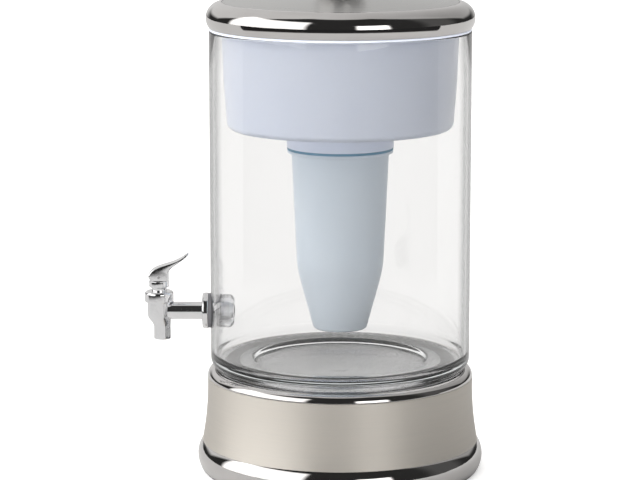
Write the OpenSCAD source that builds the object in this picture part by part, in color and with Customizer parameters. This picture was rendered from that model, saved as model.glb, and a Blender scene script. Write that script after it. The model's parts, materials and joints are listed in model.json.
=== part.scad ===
/* [Vessel] */
// Outer diameter of the glass vessel
glass_d = 215; // [206:1:230]
// Height of the glass vessel from its underside to its rim
glass_h = 281.9; // [275:0.1:330]
// Thickness of the glass wall
glass_wall = 4; // [3:0.5:5]
// Radius of the rounded heel at the foot of the glass
heel_r = 11; // [9:0.5:12]

/* [Stand] */
// Height of the stand from the table to the top of its shoulder
stand_h = 85.8; // [75:0.1:110]
// How far the brushed band flares out from its top to its bottom
band_flare = 4.5; // [2:0.5:7]
// Thickness of the sheet metal
sheet = 1.2; // [0.8:0.1:1.5]

/* [Reservoir and filter] */
// Depth of the hanging reservoir below the rim of the glass
reservoir_depth = 80.4; // [60:0.1:85]
// Length of the filter cartridge below its gasket
filter_len = 149.9; // [120:0.1:150]

/* [Lid] */
// Radius of the bull-nose rim
rim_r = 13; // [11:0.5:15]
// How far the lid's top is domed
lid_dome = 4.5; // [2:0.5:8]
// Height of the knob above the lid
knob_h = 32.4; // [26:0.1:44]
// Diameter of the knob's head
knob_d = 45; // [36:1:52]

/* [Tap] */
// Height of the tap's shank above the underside of the glass
tap_rise = 48; // [40:0.1:70]
// Distance from the glass to the axis of the barrel
tap_reach = 42.7; // [36:0.1:60]
// Diameter of the threaded shank
shank_d = 14.8; // [13:0.1:16]
// Width of the lever
lever_w = 13; // [11:0.5:16]

/* [Hidden] */

big_fn = 128;
small_fn = 48;
gap = 0.3;
fit = 0.05;
tiny = 0.01;

// Glass
glass_r = glass_d / 2;
bore_r = glass_r - glass_wall;
seat_z = stand_h - 1.3;
rim_z = seat_z + glass_h;
floor_z = seat_z + 9.5;
well_z = seat_z + 5.5;
well_r = 71;
inner_heel_r = 8;
rim_round = 1.2;

// Stand
band_r = glass_r + 2.7;
band_low = 24.7;
band_straight = 7;
shoulder_r = 6.8;
shoulder_x = band_r - shoulder_r;
shoulder_z = stand_h - shoulder_r;
flare_h = shoulder_z - band_straight - band_low;
flare_r = (flare_h * flare_h + band_flare * band_flare) / (2 * band_flare);
foot_bead_r = 19.6;
foot_bead_x = band_r + band_flare - 15.6;
foot_bead_z = 12.5;
foot_seat_r = band_r + band_flare - 3.7;
foot_ledge_r = band_r + band_flare - 5.2;
foot_out_r = band_r + band_flare;
pad_t = 1.5;
pad_w = 4;
lap = 6.3;
skirt_r = band_r - 1.4;
collar_wall_r = shoulder_x - 0.8;
seat_t = 1.5;
seat_top = seat_z - seat_t;
seat_edge = shoulder_x - 1;
dish_r = 70;
dish_depth = 5;
dish_slope = 2.5;
boss_r = 17;
boss_slope = 2.5;
boss_h = 1.5;

// Reservoir
res_top_r = bore_r - 5;
res_low_r = bore_r - 10.5;
res_wall = 2.5;
res_corner = 6;
flange_t = 2;
flange_r = glass_r - 0.2;
res_floor = rim_z - reservoir_depth;
socket_r = 44;
socket_bore = 41.6;
socket_z = res_floor - 15.6;
stop_r = 37;
stop_z = res_floor - 2;

// Filter cartridge
gasket_t = 2;
cart_top = socket_z - gasket_t;
cart_low = cart_top - filter_len;
collar_r = 43.6;
collar_t = 2.4;
neck_r = socket_bore - 0.4;
cart_r = 40;
waist_r = 35.6;
waist_z = cart_low + filter_len * 0.343;
tip_r = 22.6;
tip_round = 2;
cart_wall = 1.8;
bed_gap = 0.3;
neck_top = stop_z - gap;
grille_t = 3;

// Lid
lid_z = rim_z + flange_t;
rim_x = glass_r - 10.5;
rim_cz = lid_z + rim_r - 4.9;
lid_edge_z = rim_cz + rim_r;
lid_top_z = lid_edge_z + lid_dome;
skin = 1;
knob_flat_r = 14;
dome_r = (rim_x * rim_x + lid_dome * lid_dome) / (2 * lid_dome);
dome_flat = asin(knob_flat_r / dome_r);
dome_edge = asin((rim_x - 0.1) / dome_r);
flat_z = lid_top_z - dome_r * (1 - cos(dome_flat));
washer_t = 1;
knob_z = flat_z + washer_t;
neck_knob_r = 6.5;
knob_foot_r = neck_knob_r + 2;
knob_foot_t = 0.8;
head_r = knob_d / 2;
head_half = (knob_h - washer_t - 1) / 2;
screw_r = 2;

// Tap, with the shank along Y and the barrel upright
tap_z = seat_z + tap_rise;
barrel_y = -(glass_r + tap_reach);
shank_r = shank_d / 2;
glass_hole_r = shank_r + 0.4;
barrel_r = 9.8;
spout_r = 7.05;
waist_lip = 0.06;
spout_y = barrel_y + 2.35;
spout_low = tap_z - 23.8;
spout_top = tap_z - 13.5;
barrel_low = tap_z - 3.5;
barrel_top = tap_z + shank_r + 0.1;
chamber_r = 6.4;
chamber_low = tap_z - 6;
neck_thread_r = 8.6;
neck_thread_h = 4.9;
bonnet_r = 12;
bonnet_top = barrel_top + 9.3;
stem_r = 3.1;
stem_hole = 3.19;
collar_ring_r = 8.4;
collar_neck_r = 6.2;
collar_low = bonnet_top + 0.1;
collar_step = bonnet_top + 3.2;
collar_top = bonnet_top + 8.7;
pin_z = collar_top + 3.3;
pin_r = 1.2;
// The stem is flat on two sides from the pin down to below the reach of the lever's heel
flats_low = pin_z - 9.2;
pin_play = 0.06;
seal_r = 5.5;
seal_t = 2.5;
guide_r = 1.5;
guide_h = 4;
stem_flange_r = 5.4;
oring_r = 4.25;
oring_wire = 1.05;
oring_groove_h = 2.2;
tongue_t = 4.8;
spout_bore = 5.3;
port_r = 3.6;
inlet_r = 4.5;
flange_face = glass_r + 2;
tap_flange_t = 5;
tap_flange_r = 15;
nut_r = 13.8;
nut_face = bore_r - 3;
nut_len = 12.5;
shank_end = nut_face - 9.5;
spring_low = chamber_low + 3.5;
spring_top = barrel_top + neck_thread_h + 0.1;
spring_wire = 0.45;
spring_mean = 4.6;
spring_turns = 5;

// Points of an arc about [x, y] from angle a to angle b
function arc(x, y, r, a, b, n) =
    [for (i = [0 : n]) let (t = a + (b - a) * i / n) [x + r * cos(t), y + r * sin(t)]];

// Points of a cubic curve from p to s, drawn towards q and r
function curve(p, q, r, s, n) =
    [for (i = [0 : n]) let (t = i / n, u = 1 - t)
        u * u * u * p + 3 * u * u * t * q + 3 * u * t * t * r + t * t * t * s];

// Inner radius of the cartridge at height z
function cart_in(z) =
    (z > waist_z ? waist_r + (cart_r - waist_r) * (z - waist_z) / (cart_top - collar_t - waist_z)
                 : tip_r + (waist_r - tip_r) * (z - cart_low) / (waist_z - cart_low)) - cart_wall;

// A flat ring with its low face at z
module washer(inner, outer, z, t) {
    translate([0, 0, z]) difference() {
        cylinder(r = outer, h = t, $fn = big_fn);
        translate([0, 0, -tiny]) cylinder(r = inner, h = t + 2 * tiny, $fn = big_fn);
    }
}

// A rectangle between two corners, for turned profiles
module block(x0, z0, x1, z1) {
    translate([x0, z0]) square([x1 - x0, z1 - z0]);
}

// The curved skin of a turned bead: the part of a ring that lies inside a rectangle
module bead(x, z, r, t, x0, z0, x1, z1) {
    intersection() {
        translate([x, z]) difference() {
            circle(r, $fn = big_fn);
            circle(r - t, $fn = big_fn);
        }
        block(x0, z0, x1, z1);
    }
}

// A turned solid whose axis is the shank's, with its profile's height measured outwards along -Y
module on_shank() {
    translate([0, 0, tap_z]) rotate([90, 0, 0]) rotate_extrude($fn = big_fn) children();
}

// A round bar along the shank's axis from distance y0 to y1 in front of the vessel's axis
module shank_bar(r, y0, y1) {
    translate([0, -y0, tap_z]) rotate([90, 0, 0]) cylinder(r = r, h = y1 - y0, $fn = small_fn);
}

// Puts its children at the barrel's axis
module at_barrel(z) {
    translate([0, barrel_y, z]) children();
}

// ---------- Stand ----------

module foot_ring() {
    color("#8a8684") rotate_extrude($fn = big_fn) {
        bead(foot_bead_x, foot_bead_z, foot_bead_r, sheet,
             foot_bead_x + 5, pad_t, foot_bead_x + 30, band_low);
        block(foot_seat_r, band_low - sheet, foot_out_r - 0.7, band_low);
        block(foot_seat_r, band_low - sheet, foot_seat_r + sheet, band_low + lap);
        block(foot_ledge_r, pad_t, foot_out_r + 0.2, pad_t + sheet);
    }
}

module base_band() {
    flare = arc(band_r + flare_r, shoulder_z - band_straight, flare_r,
                180 + asin(flare_h / flare_r), 180, 16);
    outer = concat(flare, [[band_r, shoulder_z]]);
    inner = [for (i = [len(outer) - 1 : -1 : 0]) outer[i] - [sheet, 0]];
    color("#b9b2a8") rotate_extrude($fn = big_fn) polygon(concat(outer, inner));
}

module shoulder_ring() {
    color("#8a8684") rotate_extrude($fn = big_fn) {
        bead(shoulder_x, shoulder_z, shoulder_r, sheet,
             shoulder_x, shoulder_z, band_r + 1, stand_h + 1);
        block(collar_wall_r, seat_top - 2 * sheet, collar_wall_r + sheet, stand_h);
        block(seat_edge - 6, seat_top - 2 * sheet, collar_wall_r + tiny, seat_top - sheet);
        block(skirt_r - sheet, shoulder_z, skirt_r + 0.4, shoulder_z + sheet);
        block(skirt_r - sheet, shoulder_z - lap, skirt_r, shoulder_z + sheet);
    }
}

module seat_plate() {
    dish = seat_top - dish_depth;
    top = [
        [0, dish + boss_h], [boss_r - boss_slope, dish + boss_h], [boss_r, dish],
        [dish_r - dish_slope, dish], [dish_r, seat_top], [seat_edge, seat_top]
    ];
    color("#a8a6a4") rotate_extrude($fn = big_fn)
        polygon(concat(top, [for (i = [len(top) - 1 : -1 : 0]) top[i] - [0, sheet]]));
}

module cushion_ring() {
    color("#e2e4e4") washer(glass_r - 23.5, glass_r - 12, seat_top, seat_t);
}

module non_slip_ring() {
    color("#2b2b2b") washer(foot_out_r - 0.8 - pad_w, foot_out_r - 0.8, 0, pad_t);
}

// ---------- Glass vessel ----------

module glass_jar() {
    outline = concat(
        [[0, seat_z]],
        arc(glass_r - heel_r, seat_z + heel_r, heel_r, -90, 0, 10),
        arc(glass_r - rim_round, rim_z - rim_round, rim_round, 0, 90, 4),
        arc(bore_r + rim_round, rim_z - rim_round, rim_round, 90, 180, 4),
        arc(bore_r - inner_heel_r, floor_z + inner_heel_r, inner_heel_r, 0, -90, 8),
        [[well_r + 2, floor_z], [well_r, floor_z - 1], [well_r - 2, well_z], [0, well_z]]
    );
    color("#dfe8ea", 0.35) difference() {
        rotate_extrude($fn = big_fn) polygon(outline);
        shank_bar(glass_hole_r, bore_r - 5, glass_r + 5);
    }
}

// ---------- Tap ----------

// The skewed cone between the spout and the barrel, whose axes are apart
module waist() {
    n = small_fn;
    low_r = spout_r + waist_lip;
    high_r = barrel_r + waist_lip;
    low = [for (i = [0 : n - 1]) let (a = 360 * i / n)
        [low_r * cos(a), spout_y + low_r * sin(a), spout_top]];
    high = [for (i = [0 : n - 1]) let (a = 360 * i / n)
        [high_r * cos(a), barrel_y + high_r * sin(a), barrel_low]];
    sides = [for (i = [0 : n - 1]) let (k = (i + 1) % n) [i, n + i, n + k, k]];
    ends = [[for (i = [0 : n - 1]) i], [for (i = [n - 1 : -1 : 0]) n + i]];
    polyhedron(concat(low, high), concat(sides, ends), 4);
}

module tap_body() {
    color("#b8b8ba") difference() {
        union() {
            shank_bar(shank_r, shank_end, -barrel_y);
            waist();
            at_barrel(barrel_low) cylinder(r = barrel_r, h = barrel_top - barrel_low, $fn = small_fn);
            at_barrel(barrel_top - 1) cylinder(r = neck_thread_r, h = neck_thread_h + 1, $fn = small_fn);
            translate([0, spout_y, spout_low])
                cylinder(r = spout_r, h = spout_top - spout_low, $fn = small_fn);
        }
        shank_bar(inlet_r, shank_end - 1, -barrel_y);
        at_barrel(chamber_low) cylinder(r = chamber_r, h = 30, $fn = small_fn);
        translate([0, spout_y, spout_low - 1]) cylinder(r = spout_bore, h = 12, $fn = small_fn);
        translate([0, barrel_y + 0.6, spout_low + 5]) cylinder(r = port_r, h = 15, $fn = small_fn);
    }
}

module tap_bonnet() {
    soft = 2;
    outline = concat(
        [[stem_hole, spring_top], [neck_thread_r + 0.1, spring_top]],
        [[neck_thread_r + 0.1, barrel_top], [bonnet_r - 0.6, barrel_top], [bonnet_r, barrel_top + 0.8]],
        arc(bonnet_r - soft, bonnet_top - soft, soft, 0, 90, 6),
        [[stem_hole, bonnet_top]]
    );
    color("#b8b8ba") at_barrel(0) difference() {
        rotate_extrude($fn = small_fn) polygon(outline);
        translate([0, 0, spring_top + 1.2])
            cylinder(r = oring_r + oring_wire + 0.1, h = oring_groove_h, $fn = small_fn);
    }
}

module stem_oring() {
    color("#262626") at_barrel(spring_top + 2.3) rotate_extrude($fn = small_fn)
        translate([oring_r, 0]) circle(r = oring_wire, $fn = 24);
}

module outer_flange() {
    color("#a5a3a2") on_shank() polygon([
        [shank_r + fit, flange_face], [tap_flange_r, flange_face],
        [tap_flange_r, flange_face + tap_flange_t * 0.55],
        [tap_flange_r - 1.6, flange_face + tap_flange_t], [shank_r + fit, flange_face + tap_flange_t]
    ]);
}

module outer_gasket() {
    color("#4a4a4c") difference() {
        shank_bar(tap_flange_r - 0.6, glass_r - 4, flange_face);
        shank_bar(shank_r + fit, glass_r - 5, flange_face + 1);
        translate([0, 0, tap_z - 30]) cylinder(r = glass_r, h = 60, $fn = big_fn);
    }
}

module inner_gasket() {
    color("#4a4a4c") intersection() {
        difference() {
            shank_bar(nut_r - 0.8, nut_face, bore_r + 1);
            shank_bar(shank_r + fit, nut_face - 1, bore_r + 2);
        }
        translate([0, 0, tap_z - 30]) cylinder(r = bore_r, h = 60, $fn = big_fn);
    }
}

module lock_nut() {
    dome = 5;
    back = nut_face - nut_len;
    outline = concat(
        [[shank_r + fit, nut_face], [shank_r + fit, back + 2.6], [5, back + 2.6], [5, back]],
        arc(nut_r - dome, back + dome, dome, -90, 0, 8),
        [[nut_r, nut_face]]
    );
    color("#e8ecee", 0.5) on_shank() polygon(outline);
}

module swivel_collar() {
    soft = 0.7;
    color("#b8b8ba") at_barrel(0) rotate_extrude($fn = small_fn) polygon([
        [stem_hole, collar_low], [collar_neck_r, collar_low], [collar_neck_r, collar_step],
        [collar_ring_r - soft, collar_step], [collar_ring_r, collar_step + soft],
        [collar_ring_r, collar_top - soft], [collar_ring_r - soft, collar_top], [stem_hole, collar_top]
    ]);
}

module valve_stem() {
    flange = spring_low;
    color("#9d9c9a") at_barrel(0) difference() {
        union() {
            translate([0, 0, chamber_low + 0.4]) cylinder(r = guide_r, h = guide_h, $fn = 24);
            translate([0, 0, flange - 1]) cylinder(r = stem_flange_r, h = 1, $fn = small_fn);
            translate([0, 0, flange - 1]) cylinder(r = stem_r, h = flats_low - flange + 1, $fn = small_fn);
            intersection() {
                union() {
                    translate([0, 0, flats_low - 1])
                        cylinder(r = stem_r, h = pin_z - flats_low + 1, $fn = small_fn);
                    translate([-4, 0, pin_z]) rotate([0, 90, 0]) cylinder(r = stem_r, h = 8, $fn = small_fn);
                }
                translate([-tongue_t / 2, -4, flats_low - 1]) cube([tongue_t, 8, 16]);
            }
        }
        translate([-6, 0, pin_z]) rotate([0, 90, 0]) cylinder(r = pin_r + pin_play, h = 12, $fn = 24);
    }
}

module valve_seal() {
    color("#303030") at_barrel(0) washer(guide_r, seal_r, chamber_low, seal_t);
}

module valve_spring() {
    n = 10;
    rings = spring_turns * 16;
    pitch = (spring_top - spring_low - 2 * spring_wire) / spring_turns;
    points = [for (i = [0 : rings], j = [0 : n - 1])
        let (a = 360 * i / 16, b = 360 * j / n, r = spring_mean + spring_wire * cos(b))
        [r * cos(a), r * sin(a), pitch * i / 16 + spring_wire * sin(b)]];
    sides = [for (i = [0 : rings - 1], j = [0 : n - 1])
        let (k = (j + 1) % n) [i * n + j, i * n + k, (i + 1) * n + k, (i + 1) * n + j]];
    ends = [[for (j = [n - 1 : -1 : 0]) j], [for (j = [0 : n - 1]) rings * n + j]];
    color("#8f8f8f") at_barrel(spring_low + spring_wire) polyhedron(points, concat(sides, ends), 8);
}

module lever() {
    low = collar_top + 0.1 - pin_z;
    front_round = 4.3;
    front = -8.8;
    back = 8;
    slot_w = tongue_t + 0.6;
    top_edge = curve([front, 1.1], [-6, 11.5], [13.5, 8.5], [24.2, 20.2], 16);
    low_edge = curve([24.9, 18.9], [18.5, 11.8], [11.5, 10.2], [back, 4.2], 12);
    outline = concat(
        top_edge, [[25.2, 19.7]], low_edge, [[back, low]],
        arc(front + front_round, low + front_round, front_round, -90, -180, 8)
    );
    color("#c4c4c6") at_barrel(pin_z) difference() {
        rotate([90, 0, 90]) translate([0, 0, -lever_w / 2]) linear_extrude(lever_w) polygon(outline);
        translate([-slot_w / 2, front - 1, low - 1]) cube([slot_w, 3.5 - front + 1, 3.6 - low + 1]);
        translate([-lever_w, 0, 0]) rotate([0, 90, 0]) cylinder(r = pin_r, h = 2 * lever_w, $fn = 24);
    }
}

module lever_pin() {
    color("#8f8f8f") at_barrel(pin_z) translate([-lever_w / 2, 0, 0]) rotate([0, 90, 0])
        cylinder(r = pin_r, h = lever_w, $fn = 24);
}

// ---------- Reservoir and filter ----------

module reservoir() {
    outline = concat(
        [[stop_r, stop_z], [socket_bore, stop_z], [socket_bore, socket_z], [socket_r, socket_z]],
        [[socket_r, res_floor]],
        arc(res_low_r - res_corner, res_floor + res_corner, res_corner, -90, -4, 8),
        [[res_top_r, rim_z], [flange_r, rim_z], [flange_r, lid_z], [res_top_r - res_wall, lid_z]],
        [[res_low_r - res_wall, res_floor + 6], [res_low_r - res_wall - 3, res_floor + res_wall]],
        [[stop_r, res_floor + res_wall]]
    );
    color("#e3e8f2") rotate_extrude($fn = big_fn) polygon(outline);
}

module filter_gasket() {
    color("#5f8aa6") washer(neck_r + gap, collar_r, cart_top, gasket_t);
}

module filter_shell() {
    low = cart_top - collar_t;
    inner_low = cart_low + cart_wall;
    outline = concat(
        [[0, cart_low]],
        arc(tip_r - tip_round, cart_low + tip_round, tip_round, -90, -15, 5),
        [[waist_r, waist_z], [cart_r, low], [collar_r, low], [collar_r, cart_top]],
        [[neck_r, cart_top], [neck_r, neck_top], [neck_r - 2.4, neck_top], [neck_r - 2.4, low]],
        [[cart_in(low), low - 1], [cart_in(waist_z), waist_z], [cart_in(inner_low), inner_low]],
        [[0, inner_low]]
    );
    color("#c9dbe6") difference() {
        rotate_extrude($fn = big_fn) polygon(outline);
        for (i = [0 : 7])
            rotate([0, 0, 45 * i]) translate([i == 0 ? 0 : 12, 0, cart_low - 1])
                cylinder(r = 1.5, h = cart_wall + 2, $fn = 24);
    }
}

module filter_grille() {
    r = neck_r - 2.4;
    slots = 12;
    color("#dfe8ef") translate([0, 0, neck_top - grille_t]) difference() {
        cylinder(r = r, h = grille_t, $fn = big_fn);
        for (i = [0 : slots - 1])
            rotate([0, 0, 360 * i / slots]) translate([14, -1.2, -1]) cube([19, 2.4, grille_t + 2]);
    }
}

module foam_disc() {
    color("#d9dde0") translate([0, 0, neck_top - grille_t - 9])
        cylinder(r = neck_r - 2.4 - bed_gap, h = 9, $fn = big_fn);
}

// A bed of filter material between two heights, following the taper of the shell
module bed(z0, z1) {
    translate([0, 0, z0])
        cylinder(r1 = cart_in(z0) - bed_gap, r2 = cart_in(z1) - bed_gap, h = z1 - z0, $fn = big_fn);
}

module carbon_bed() {
    color("#232323") bed(waist_z + 38, cart_top - collar_t - 2);
}

module resin_bed() {
    color("#b98a4a") bed(waist_z, waist_z + 38);
}

module outlet_screen() {
    color("#f0f0ee") bed(cart_low + cart_wall, waist_z);
}

// ---------- Lid ----------

module lid_top() {
    outer = arc(0, lid_top_z - dome_r, dome_r, 90 - dome_edge, 90 - dome_flat, 12);
    color("#b4b4b4") rotate_extrude($fn = big_fn) polygon(concat(
        outer, [[screw_r + 0.2, flat_z], [screw_r + 0.2, flat_z - skin]],
        [for (i = [12 : -1 : 0]) outer[i] - [0, skin]]
    ));
}

module lid_rim() {
    ledge = lid_edge_z - skin - 0.2;
    color("#8a8684") rotate_extrude($fn = big_fn) {
        bead(rim_x, rim_cz, rim_r, sheet, rim_x, lid_z, rim_x + rim_r + 1, lid_edge_z + 1);
        block(glass_r - 16.5, lid_z, rim_x + rim_r - 3, lid_z + sheet);
        block(rim_x - 4, ledge - 1.2, rim_x + 2, ledge);
    }
}

module lid_seal() {
    outer = res_top_r - res_wall - 1;
    color("#e6eaee") washer(outer - 3.2, outer, lid_z - 8, 8);
}

module lid_knob() {
    from = -acos(neck_knob_r / head_r);
    steps = 28;
    head = [for (i = [0 : steps]) let (a = from + (90 - from) * i / steps)
        [i == steps ? 0 : head_r * cos(a), knob_h - washer_t - head_half + head_half * sin(a)]];
    outline = concat(
        [[0, 0], [knob_foot_r, 0], [knob_foot_r, knob_foot_t], [neck_knob_r, knob_foot_t]], head
    );
    color("#8f8c8a") translate([0, 0, knob_z]) difference() {
        rotate_extrude($fn = big_fn) polygon(outline);
        translate([0, 0, -1]) cylinder(r = screw_r, h = 14, $fn = 24);
    }
}

module knob_washer() {
    color("#e6eaee") washer(screw_r + 0.2, neck_knob_r + 2.4, flat_z, washer_t);
}

module knob_screw() {
    color("#8f8f8f") translate([0, 0, flat_z - skin]) {
        translate([0, 0, -2.6]) cylinder(r = 4.5, h = 2.6, $fn = small_fn);
        translate([0, 0, -1]) cylinder(r = screw_r, h = 13, $fn = 24);
    }
}

foot_ring();
base_band();
shoulder_ring();
seat_plate();
cushion_ring();
non_slip_ring();
glass_jar();
tap_body();
tap_bonnet();
stem_oring();
outer_flange();
outer_gasket();
inner_gasket();
lock_nut();
swivel_collar();
valve_stem();
valve_seal();
valve_spring();
lever();
lever_pin();
reservoir();
filter_gasket();
filter_shell();
filter_grille();
foam_disc();
carbon_bed();
resin_bed();
outlet_screen();
lid_top();
lid_rim();
lid_seal();
lid_knob();
knob_washer();
knob_screw();
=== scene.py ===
import json
import math

import bmesh
import bpy
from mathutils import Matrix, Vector


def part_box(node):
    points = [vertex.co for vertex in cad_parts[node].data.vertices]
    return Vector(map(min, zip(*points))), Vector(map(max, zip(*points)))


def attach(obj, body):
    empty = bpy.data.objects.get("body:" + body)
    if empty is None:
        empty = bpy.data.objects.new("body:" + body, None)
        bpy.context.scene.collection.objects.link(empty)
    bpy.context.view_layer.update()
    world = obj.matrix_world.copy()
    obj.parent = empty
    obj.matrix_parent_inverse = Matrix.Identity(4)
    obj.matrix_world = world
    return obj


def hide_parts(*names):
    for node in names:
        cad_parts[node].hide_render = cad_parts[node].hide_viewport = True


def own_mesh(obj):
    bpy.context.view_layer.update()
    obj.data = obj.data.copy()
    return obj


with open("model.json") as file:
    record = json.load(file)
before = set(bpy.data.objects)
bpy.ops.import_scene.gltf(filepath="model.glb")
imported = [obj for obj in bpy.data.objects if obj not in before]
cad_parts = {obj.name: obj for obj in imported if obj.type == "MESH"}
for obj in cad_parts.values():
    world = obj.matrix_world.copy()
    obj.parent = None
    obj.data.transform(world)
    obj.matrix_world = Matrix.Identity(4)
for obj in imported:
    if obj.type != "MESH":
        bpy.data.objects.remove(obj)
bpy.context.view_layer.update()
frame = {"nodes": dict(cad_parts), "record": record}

MM = 0.001
ROUND = 192      # segments round a large turned piece
TAP_ROUND = 128  # segments round the tap's small ones
BORE_ROUND = 64  # segments round a drilled hole
CREASE = 30      # edges sharper than this many degrees stay crisp

# ---------------------------------------------------------------- places taken from the frame

NODES = frame["nodes"]
JAR_LOW, JAR_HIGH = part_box("glass_jar")
FOOT_LOW, FOOT_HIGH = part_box("foot_ring")
BAND_LOW, BAND_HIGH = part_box("base_band")
SHOULDER_LOW, SHOULDER_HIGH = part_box("shoulder_ring")
SEAT_LOW, SEAT_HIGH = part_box("seat_plate")
_, RES_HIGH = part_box("reservoir")
CART_LOW, CART_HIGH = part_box("filter_shell")
GASKET_LOW, GASKET_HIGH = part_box("filter_gasket")
RIM_LOW, RIM_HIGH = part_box("lid_rim")
TOP_LOW, TOP_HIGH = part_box("lid_top")
KNOB_LOW, KNOB_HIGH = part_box("lid_knob")
TAP_LOW, TAP_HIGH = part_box("tap_body")
BONNET_LOW, BONNET_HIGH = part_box("tap_bonnet")
COLLAR_LOW, COLLAR_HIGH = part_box("swivel_collar")
LEVER_LOW, LEVER_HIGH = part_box("lever")
PIN_LOW, PIN_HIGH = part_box("lever_pin")
SPRING_LOW, SPRING_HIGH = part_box("valve_spring")
FLANGE_LOW, FLANGE_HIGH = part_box("outer_flange")
NUT_LOW, NUT_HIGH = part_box("lock_nut")

TAP_Z = (FLANGE_LOW.z + FLANGE_HIGH.z) / 2
BARREL_Y = (BONNET_LOW.y + BONNET_HIGH.y) / 2
PIN_Y = (PIN_LOW.y + PIN_HIGH.y) / 2
PIN_Z = (PIN_LOW.z + PIN_HIGH.z) / 2

SHEET = 1.2 * MM                         # pressed steel of the stand and the lid's rim
SHOULDER_LEDGE = SEAT_HIGH.z - 2.4 * MM  # underside of the shelf that carries the seat plate
SHANK_R = 7.4 * MM
SHANK_HOLE = 7.45 * MM                   # hole in the flange and the lock nut
STEM_HOLE = 3.19 * MM                    # hole in the bonnet and the collar
WIRE = 0.45 * MM                         # half the thickness of the spring's wire


# ---------------------------------------------------------------- mesh building


def arc(x, z, r, start, end, steps):
    """Points of an arc about (x, z), with its angles in degrees."""
    angles = [math.radians(start + (end - start) * i / steps) for i in range(steps + 1)]
    return [(x + r * math.cos(a), z + r * math.sin(a)) for a in angles]


def curve(p, q, r, s, steps):
    """Points of a cubic curve from p to s, drawn towards q and r."""
    made = []
    for i in range(steps + 1):
        t = i / steps
        u = 1 - t
        weights = (u**3, 3 * u * u * t, 3 * u * t * t, t**3)
        made.append(tuple(sum(w * k[n] for w, k in zip(weights, (p, q, r, s))) for n in (0, 1)))
    return made


def line(p, q, steps):
    """Points along a straight stretch, without its two ends."""
    return [(p[0] + (q[0] - p[0]) * i / steps, p[1] + (q[1] - p[1]) * i / steps) for i in range(1, steps)]


def finish_mesh(mesh, angle=CREASE):
    """Smooth shading, with edges sharper than the angle kept crisp."""
    bm = bmesh.new()
    bm.from_mesh(mesh)
    bmesh.ops.remove_doubles(bm, verts=bm.verts, dist=1e-7)
    bmesh.ops.recalc_face_normals(bm, faces=bm.faces)
    bm.to_mesh(mesh)
    bm.free()
    mesh.polygons.foreach_set("use_smooth", [True] * len(mesh.polygons))
    mesh.set_sharp_from_angle(angle=math.radians(angle))
    mesh.update()


def add_object(name, mesh):
    made = bpy.data.objects.new(name, mesh)
    bpy.context.scene.collection.objects.link(made)
    return made


def add_mesh(name, verts, faces, angle=CREASE):
    mesh = bpy.data.meshes.new(name)
    mesh.from_pydata(verts, [], faces)
    finish_mesh(mesh, angle)
    return add_object(name, mesh)


def upright(x, y):
    """Stands a turned solid on the vertical axis through (x, y)."""
    return lambda r, h, a: (x + r * math.cos(a), y + r * math.sin(a), h)


AT_BARREL = upright(0, BARREL_Y)


def on_shank(r, h, a):
    """Lays a turned solid on the shank's axis. Its height is the distance in front of the vessel's axis."""
    return (r * math.cos(a), -h, TAP_Z + r * math.sin(a))


def on_pin(r, h, a):
    """Lays a turned solid on the lever pin's axis. Its height runs along X."""
    return (h, PIN_Y + r * math.cos(a), PIN_Z + r * math.sin(a))


def turned(name, profile, segments=ROUND, place=upright(0, 0)):
    """A turned solid from a closed profile of (radius, height). Points at radius 0 become poles."""
    rows = []
    verts = []
    for r, h in profile:
        if r < 1e-9:
            rows.append([len(verts)] * segments)
            verts.append(place(0, h, 0))
            continue
        rows.append(list(range(len(verts), len(verts) + segments)))
        verts += [place(r, h, 2 * math.pi * k / segments) for k in range(segments)]
    faces = []
    for i, row in enumerate(rows):
        after = rows[(i + 1) % len(rows)]
        if row[0] == row[1] and after[0] == after[1]:
            continue
        for k in range(segments):
            n = (k + 1) % segments
            corners = list(dict.fromkeys([row[k], row[n], after[n], after[k]]))
            if len(corners) > 2:
                faces.append(corners)
    return add_mesh(name, verts, faces)


def drill(name, radius, low, high, segments, place):
    """A plain turned cylinder to cut a hole with."""
    return turned(name, [(0, low), (radius, low), (radius, high), (0, high)], segments, place)


def tube_faces(rings, around):
    """The sides and the two ends of a tube made of rings of points."""
    faces = [tuple(range(around))]
    for i in range(rings - 1):
        for k in range(around):
            n = (k + 1) % around
            faces.append((i * around + k, i * around + n, (i + 1) * around + n, (i + 1) * around + k))
    faces.append(tuple(reversed(range((rings - 1) * around, rings * around))))
    return faces


def combine(piece, others, operation):
    """Joins or cuts with an exact Boolean, applied to the mesh."""
    for other in others:
        mod = piece.modifiers.new("cut", "BOOLEAN")
        mod.operation = operation
        mod.solver = "EXACT"
        mod.object = other
        dg = bpy.context.evaluated_depsgraph_get()
        made = bpy.data.meshes.new_from_object(piece.evaluated_get(dg))
        piece.modifiers.clear()
        piece.data = made
        bpy.data.objects.remove(other)
    finish_mesh(piece.data)
    return piece


def show(piece, node, material):
    """The piece stands for the CAD node, moves with that node's body and takes its material."""
    body = next(b for b, names in frame["record"]["behaviour"]["bodies"].items() if node in names)
    piece.data.materials.clear()
    piece.data.materials.append(material)
    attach(piece, body)
    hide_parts(node)
    return piece


def dress(node, material, slot):
    """A CAD node that stays: welded seams, smooth shading with crisp edges, and a better material."""
    piece = NODES[node]
    piece.data.polygons.foreach_set("use_smooth", [True] * len(piece.data.polygons))
    weld = piece.modifiers.new("weld", "WELD")
    weld.merge_threshold = 1e-6
    split = piece.modifiers.new("crisp", "EDGE_SPLIT")
    split.split_angle = math.radians(CREASE)
    piece.data.materials.clear()
    piece.data.materials.append(material)


# ---------------------------------------------------------------- materials


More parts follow.
